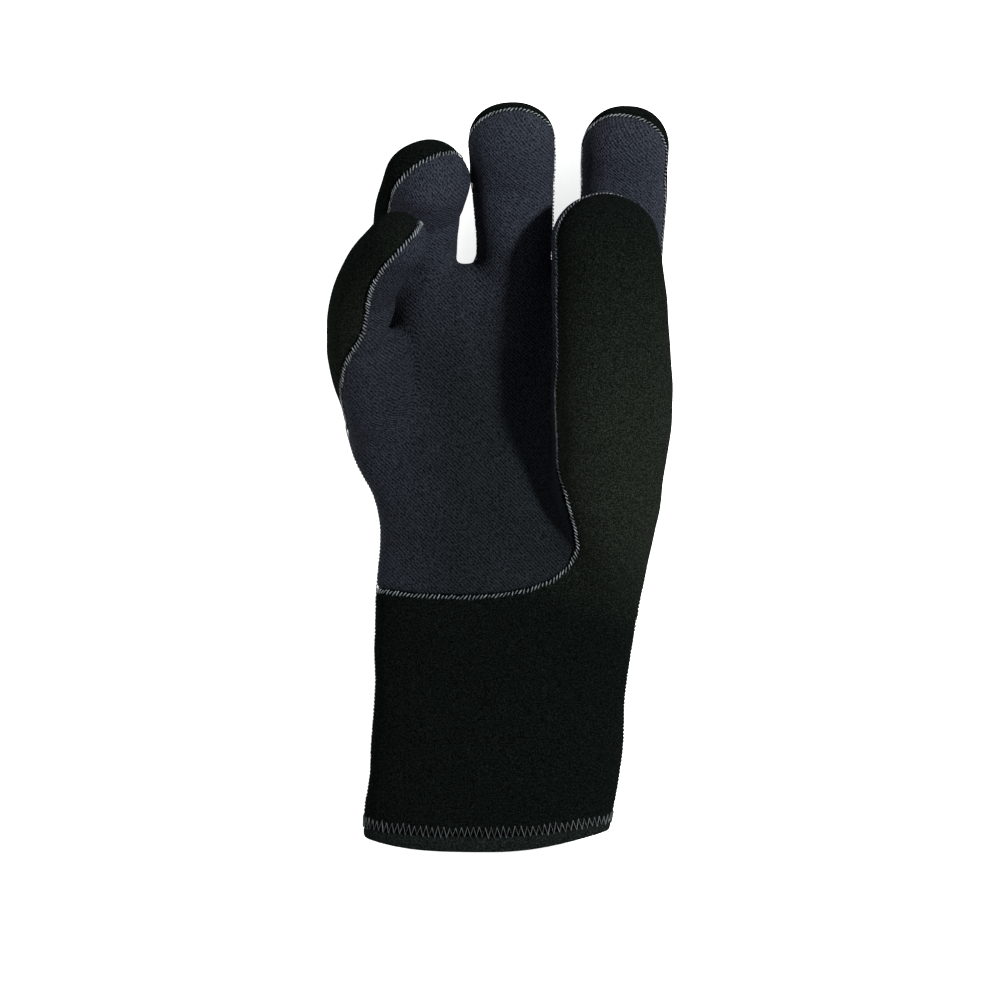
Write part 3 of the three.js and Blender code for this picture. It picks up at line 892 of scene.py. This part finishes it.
def tubes(name, paths, radius, material):
    """Round threads along paths, closed at both ends, as one mesh."""
    points, faces = [], []
    turn = 2 * math.pi * np.arange(THREAD_SIDES) / THREAD_SIDES
    for path in paths:
        base = len(points)
        runs = unit(np.gradient(path, axis=0))
        for number, (spot, run) in enumerate(zip(path, runs)):
            # A run that is nearly upright is crossed with X, and any other with Z.
            side = unit(np.cross(run, (0, 0, 1) if abs(run[2]) < 0.9 else (1, 0, 0)))
            other = np.cross(run, side)
            size = radius * (THREAD_END if number in (0, len(path) - 1) else 1)
            for angle in turn:
                points.append(spot + size * (math.cos(angle) * side + math.sin(angle) * other))
        for i in range(len(path) - 1):
            for j in range(THREAD_SIDES):
                k = (j + 1) % THREAD_SIDES
                low = base + i * THREAD_SIDES
                faces.append((low + j, low + k, low + THREAD_SIDES + k, low + THREAD_SIDES + j))
        end = base + (len(path) - 1) * THREAD_SIDES
        faces.append(tuple(base + j for j in reversed(range(THREAD_SIDES))))
        faces.append(tuple(end + j for j in range(THREAD_SIDES)))
    return mesh_object(name, points, faces, material)


def laid_out(fields, path, pitch):
    """Points evenly along a path on the outer wall, with the directions along, up and across."""
    points, runs = resampled(path, pitch)
    normals = unit(slope(fields["outer"], fields["grid"], points, THREAD_REACH))
    return points, runs, normals, np.cross(normals, runs)


def seam_stitches(fields, path):
    """The slanting stitches along a seam, as short paths that hump over it."""
    points, runs, normals, acrosses = laid_out(fields, path, SEAM_STITCH)
    draw = np.random.default_rng(STITCH_SEED)
    count = (len(points), 1)
    half = SEAM_HALF * draw.uniform(*UNEVEN_HALF, count)
    lean = SEAM_LEAN * draw.uniform(*UNEVEN_LEAN, count)
    middle = draw.uniform(*UNEVEN_ASIDE, count) - SEAM_ASIDE
    stitches = []
    for share, height in ((-1, 0.0), (-0.5, SEAM_HUMP), (0.5, SEAM_HUMP), (1, 0.0)):
        spot = points + (middle + share * half) * acrosses + share * lean * runs
        off = sample(fields["outer"], fields["grid"], spot)
        stitches.append(spot + (height - off)[:, None] * normals)
    return list(np.stack(stitches, axis=1))


def zigzag(fields, path):
    """The zigzag thread over the top of the hem, as one closed path."""
    points, _, normals, acrosses = laid_out(fields, path, HEM_STITCH)
    turns = np.where(np.arange(len(points)) % 2, 1, -1)[:, None]
    uneven = np.random.default_rng(STITCH_SEED).uniform(*UNEVEN_ZIGZAG, turns.shape)
    spots = points + turns * uneven * HEM_HALF * acrosses
    off = sample(fields["outer"], fields["grid"], spots)
    laid = spots + (HEM_PROUD + HEM_LIFT - off)[:, None] * normals
    laid[:, 2] = np.maximum(laid[:, 2], HEM_THREAD)
    return np.vstack([laid, laid[:1]])


def add_threads(fields, looks):
    """The stitches along the side seam and the palm seam, and the zigzag over the hem."""
    left = float(BODY_ROWS["left"][0])
    zigzag_y = CUFF_EDGE + HEM_HEIGHT + HEM_RISE
    cuff_top = zigzag_y + HEM_HALF
    side_seam = trace(
        fields, fields["side"], (left, cuff_top, SIDE_SEAM_Z), (0, 1, 0),
        lambda point: point[1] < cuff_top and point[0] > 0,
    )
    palm_start = (left * PALM_START, WRIST_Y, SIDE_SEAM_Z + PALM_START_RISE)
    palm_seam = trace(
        fields, fields["palm"], palm_start, (1, 0, 0.5),
        lambda point: point[0] > THUMB_SIDE and point[2] < SIDE_SEAM_Z,
    )
    hem = trace(
        fields, np.broadcast_to(fields["along"] - zigzag_y, fields["outer"].shape),
        (0, zigzag_y, CUFF_HEIGHT), (1, 0, 0),
        lambda point: abs(point[0]) < HEM_CLOSE and point[2] > SIDE_SEAM_Z, HEM_LEAST,
    )
    seams = seam_stitches(fields, side_seam) + seam_stitches(fields, palm_seam)
    return [
        tubes("seam_thread", seams, SEAM_THREAD, looks["seam_thread"]),
        tubes("hem_thread", [zigzag(fields, hem)], HEM_THREAD, looks["hem_thread"]),
    ]


# In the looks a colour is linear, a noise is its scale a metre and its detail, a span is where a
# value runs from 0 to 1, and a bump is its distance in metres and its strength.
WHITE = (1.0, 1.0, 1.0, 1.0)

# The knit. Its ribs and yarns are a turn in radians a millimetre and a sway in radians, and its
# weights are their shares of the height. Its palm colour is painted shade over the middle of the
# palm, which lifts over spans in metres along Y towards the fingers and along X towards the
# little finger's edge, there by at most the edge share.
KNIT_DARK = (0.0008, 0.001, 0.0014, 1.0)
KNIT_PALE = (0.0195, 0.0225, 0.0305, 1.0)
KNIT_PALM_SHADE = (0.43, 0.47, 0.41, 1.0)
KNIT_RIBS = (4.0, 5.0)
KNIT_YARNS = (5.2, 7.0)
KNIT_WANDER_NOISE = (260, 2)
KNIT_FLUFF_NOISE = (1500, 3)
KNIT_FLUFF_SPAN = (0.36, 0.64)
KNIT_WEIGHTS = {"base": 0.15, "ribs": 0.2, "yarns": 0.12, "fluff": 0.7}
KNIT_SHADE_FINGERS_SPAN = (0.035, 0.1)
KNIT_SHADE_EDGE_SPAN = (-0.018, -0.05)
KNIT_SHADE_EDGE_SHARE = 0.7
KNIT_PATCH_NOISE = (22, 3)
KNIT_PATCH_DULL = (0.75, 0.75, 0.78, 1)
KNIT_PATCH_BRIGHT = (1.2, 1.2, 1.18, 1)
KNIT_BUMP = (0.0004, 0.9)
KNIT_FINISH = {
    "Roughness": 0.85, "Specular IOR Level": 0.01, "Sheen Weight": 0.004,
    "Sheen Roughness": 0.5, "Sheen Tint": (0.7, 0.78, 1.0, 1),
}

# The jersey. It is made paler and greener over the hand, which begins on a slant that rises with
# X, and the paler tone dies away towards the fingertips, all in metres.
JERSEY_TONE = (0.0014, 0.002, 0.0018)
HEM_TONE = (0.0034, 0.0047, 0.0043)
JERSEY_PALER_TONE = (3.4, 3.0, 2.5, 1.0)
JERSEY_NOISE = (1900, 3)
JERSEY_SPAN = (0.36, 0.66)
JERSEY_CONTRAST = 1.5
JERSEY_DARK = 0.3
JERSEY_PALE = 2.4
JERSEY_SLANT = 0.4
JERSEY_HAND_SPAN = (-0.04, -0.006)
JERSEY_REACH_SPAN = (0.104, 0.014)
JERSEY_BUMP = (0.0003, 0.8)
JERSEY_FINISH = {
    "Roughness": 0.9, "Specular IOR Level": 0.0, "Sheen Weight": 0.002,
    "Sheen Roughness": 0.5, "Sheen Tint": (0.9, 1.0, 0.86, 1),
}

# The thread, which is dull and bright by turns.
SEAM_THREAD_TONE = (0.068, 0.084, 0.09)
HEM_THREAD_TONE = (0.045, 0.056, 0.056)
THREAD_TURNS_NOISE = (420, 2)
THREAD_TURNS_SPAN = (0.35, 0.65)
THREAD_DULL = (0.15, 0.15, 0.15, 1)
THREAD_BRIGHT = (1.6, 1.6, 1.6, 1)
THREAD_FIBRE_NOISE = (2600, 2)
THREAD_DARK = 0.45
THREAD_BUMP = (0.0001, 0.5)
THREAD_ROUGH = 0.6


def scaled(colour, share):
    """A colour made darker or brighter, with its alpha."""
    return (*(share * value for value in colour), 1)


def make_looks():
    return {
        "knit": knit_look(),
        "jersey": jersey_look("jersey", JERSEY_TONE),
        "hem": jersey_look("hem", HEM_TONE),
        "seam_thread": thread_look("seam_thread", SEAM_THREAD_TONE),
        "hem_thread": thread_look("hem_thread", HEM_THREAD_TONE),
    }


class Nodes:
    """A material's nodes, made and joined by name."""

    def __init__(self, name):
        self.material = bpy.data.materials.new(name)
        self.material.use_nodes = True
        self.tree = self.material.node_tree
        self.tree.nodes.clear()
        self.shader = self.add("ShaderNodeBsdfPrincipled")
        output = self.add("ShaderNodeOutputMaterial")
        self.tree.links.new(self.shader.outputs["BSDF"], output.inputs["Surface"])

    def add(self, kind, **values):
        node = self.tree.nodes.new(kind)
        for key, value in values.items():
            if key in node.inputs:
                self.put(node.inputs[key], value)
            else:
                setattr(node, key, value)
        return node

    def put(self, socket, value):
        if hasattr(value, "is_output"):
            self.tree.links.new(value, socket)
        else:
            socket.default_value = value

    def math(self, operation, *values):
        node = self.add("ShaderNodeMath", operation=operation)
        for socket, value in zip(node.inputs, values):
            self.put(socket, value)
        return node.outputs[0]

    def noise(self, scale, detail, where):
        node = self.add("ShaderNodeTexNoise", Scale=scale, Detail=detail, Vector=where)
        return node.outputs["Fac"]

    def mix(self, share, a, b, blend="MIX"):
        node = self.add("ShaderNodeMix", data_type="RGBA", blend_type=blend)
        self.put(node.inputs["Factor"], share)
        # The node's seventh and eighth inputs and its third output are the colours.
        self.put(node.inputs[6], a)
        self.put(node.inputs[7], b)
        return node.outputs[2]

    def multiply(self, a, b):
        return self.mix(1.0, a, b, "MULTIPLY")

    def spread(self, value, low, high):
        """A value's place between two ends, from 0 to 1."""
        node = self.add("ShaderNodeMapRange")
        self.put(node.inputs["Value"], value)
        self.put(node.inputs["From Min"], low)
        self.put(node.inputs["From Max"], high)
        return node.outputs["Result"]

    def waves(self, across, along, wander, turn, sway):
        """Slanting waves, with their turn in radians a unit of the run, swayed by noise."""
        sums = self.math("MULTIPLY", self.math("ADD", across, along), turn)
        return self.math("SINE", self.math("ADD", sums, self.math("MULTIPLY", wander, sway)))

    def bump(self, height, distance, strength):
        node = self.add("ShaderNodeBump", Height=height, Distance=distance, Strength=strength)
        self.put(self.shader.inputs["Normal"], node.outputs["Normal"])

    def finish(self, values):
        """Puts colours, numbers or other nodes' outputs on the shader."""
        for key, value in values.items():
            self.put(self.shader.inputs[key], value)

    def body(self):
        """The object's own coordinates in metres."""
        return self.add("ShaderNodeTexCoord").outputs["Object"]

    def split(self, vector):
        return self.add("ShaderNodeSeparateXYZ", Vector=vector).outputs


def knit_look():
    """The dark blue grip knit: slanting ribs crossed by finer yarns, with painted shade over the
    middle of the palm.
    """
    look = Nodes("grip_knit")
    body = look.body()
    place = look.split(body)
    run = look.split(look.add("ShaderNodeUVMap", uv_map="cloth").outputs["UV"])
    wander = look.noise(*KNIT_WANDER_NOISE, body)
    back = look.math("MULTIPLY", run["Y"], -1.0)
    reliefs = {
        "ribs": look.waves(run["X"], run["Y"], wander, *KNIT_RIBS),
        "yarns": look.waves(run["X"], back, wander, *KNIT_YARNS),
        "fluff": look.spread(look.noise(*KNIT_FLUFF_NOISE, body), *KNIT_FLUFF_SPAN),
    }
    height = KNIT_WEIGHTS["base"]
    for name, relief in reliefs.items():
        height = look.math("ADD", height, look.math("MULTIPLY", relief, KNIT_WEIGHTS[name]))
    tone = look.mix(height, KNIT_DARK, KNIT_PALE)
    # Painted shade: the knit is darkened over the middle of the palm and lifts towards the
    # fingers and the little finger's edge.
    lit_fingers = look.spread(place["Y"], *KNIT_SHADE_FINGERS_SPAN)
    edge = look.math("MULTIPLY", look.spread(place["X"], *KNIT_SHADE_EDGE_SPAN), KNIT_SHADE_EDGE_SHARE)
    unshaded_part = look.math("MAXIMUM", lit_fingers, edge)
    tone = look.multiply(tone, look.mix(unshaded_part, KNIT_PALM_SHADE, WHITE))
    patches = look.noise(*KNIT_PATCH_NOISE, body)
    tone = look.multiply(tone, look.mix(patches, KNIT_PATCH_DULL, KNIT_PATCH_BRIGHT))
    look.finish({"Base Color": tone, **KNIT_FINISH})
    look.bump(height, *KNIT_BUMP)
    return look.material


def jersey_look(name, colour):
    """Matt black elastic jersey with a fine grain, paler and greener over the hand than at the
    cuff and the fingertips.
    """
    look = Nodes(name)
    body = look.body()
    place = look.split(body)
    grain = look.spread(look.noise(*JERSEY_NOISE, body), *JERSEY_SPAN)
    grain = look.math("POWER", grain, JERSEY_CONTRAST)
    tone = look.mix(grain, scaled(colour, JERSEY_DARK), scaled(colour, JERSEY_PALE))
    # Paler and greener from a slant near the wrist, fading away towards the fingertips.
    slant = look.math("ADD", place["Y"], look.math("MULTIPLY", place["X"], JERSEY_SLANT))
    hand = look.spread(slant, *JERSEY_HAND_SPAN)
    reach = look.spread(place["Y"], *JERSEY_REACH_SPAN)
    paler_share = look.math("MULTIPLY", hand, reach)
    tone = look.multiply(tone, look.mix(paler_share, WHITE, JERSEY_PALER_TONE))
    look.finish({"Base Color": tone, **JERSEY_FINISH})
    look.bump(grain, *JERSEY_BUMP)
    return look.material


def thread_look(name, colour):
    """Twisted thread, unevenly bright along its run."""
    look = Nodes(name)
    body = look.body()
    turns = look.spread(look.noise(*THREAD_TURNS_NOISE, body), *THREAD_TURNS_SPAN)
    fibres = look.noise(*THREAD_FIBRE_NOISE, body)
    twist = look.mix(fibres, scaled(colour, THREAD_DARK), scaled(colour, 1))
    tone = look.multiply(twist, look.mix(turns, THREAD_DULL, THREAD_BRIGHT))
    look.finish({"Base Color": tone, "Roughness": THREAD_ROUGH})
    look.bump(fibres, *THREAD_BUMP)
    return look.material


# The stage, in metres and watts but for the floor's half width in millimetres. The floor lies
# FLOOR_DROP under the glove. The camera looks straight down, and its view is VIEW_WIDTH wide at
# FOCUS_HEIGHT.
FLOOR_HALF = 4000.0
FLOOR_DROP = 0.0004
FLOOR_FINISH = {
    "Base Color": (0.86, 0.86, 0.86, 1), "Roughness": 0.9,
    "Emission Color": (1.0, 1.0, 1.0, 1), "Emission Strength": 0.7,
}
LAMPS = {
    "key": {"power": 60.0, "place": (0.85, 0.26, 1.13), "size": 0.16},
    "fill": {"power": 14.0, "place": (-1.1, 0.1, 0.9), "size": 0.9},
}
LAMPS_AIM = (0.0, 0.0, 0.02)
SKY_COLOUR = (0.95, 0.97, 1.0, 1)
SKY_STRENGTH = 0.45
CAMERA_AWAY = 1.8
CAMERA_CLIP = 20
SENSOR_WIDTH = 36
VIEW_WIDTH = 0.3738
FOCUS_HEIGHT = 0.02
AIM = (0.0004, -0.0085)


def add_light(name, power, place, size):
    """A round lamp that faces the glove."""
    lamp = bpy.data.lights.new(name, "AREA")
    lamp.energy = power
    lamp.shape = "DISK"
    lamp.size = size
    piece = add_object(name, lamp)
    piece.location = place
    facing = Vector(LAMPS_AIM) - Vector(place)
    piece.rotation_euler = facing.to_track_quat("-Z", "Y").to_euler()


def add_floor():
    far = FLOOR_HALF
    corners = [(-far, -far, 0), (far, -far, 0), (far, far, 0), (-far, far, 0)]
    look = Nodes("paper")
    look.finish(FLOOR_FINISH)
    floor = mesh_object("floor", corners, [(0, 1, 2, 3)], look.material)
    floor.location.z = -FLOOR_DROP


def add_camera():
    lens = bpy.data.cameras.new("camera")
    lens.sensor_width = SENSOR_WIDTH
    lens.lens = SENSOR_WIDTH * (CAMERA_AWAY - FOCUS_HEIGHT) / VIEW_WIDTH
    lens.clip_end = CAMERA_CLIP
    camera = add_object("camera", lens)
    camera.location = (*AIM, CAMERA_AWAY)
    bpy.context.scene.camera = camera


def studio():
    """The floor, the lights, the sky and the camera."""
    add_floor()
    for name, facts in LAMPS.items():
        add_light(name, **facts)
    world = bpy.data.worlds.new("studio")
    world.use_nodes = True
    sky = world.node_tree.nodes["Background"]
    sky.inputs["Color"].default_value = SKY_COLOUR
    sky.inputs["Strength"].default_value = SKY_STRENGTH
    bpy.context.scene.world = world
    bpy.context.scene.view_settings.view_transform = "Standard"
    add_camera()


def main():
    fields = make_fields()
    looks = make_looks()
    made = panels(fields, looks)
    threads = add_threads(fields, looks)
    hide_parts("palm_panel")
    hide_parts("thumb_cuff_panel")
    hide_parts("back_panel")
    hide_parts("cuff_hem")
    for piece in [*made.values(), *threads]:
        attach(piece, "root")
    studio()


main()
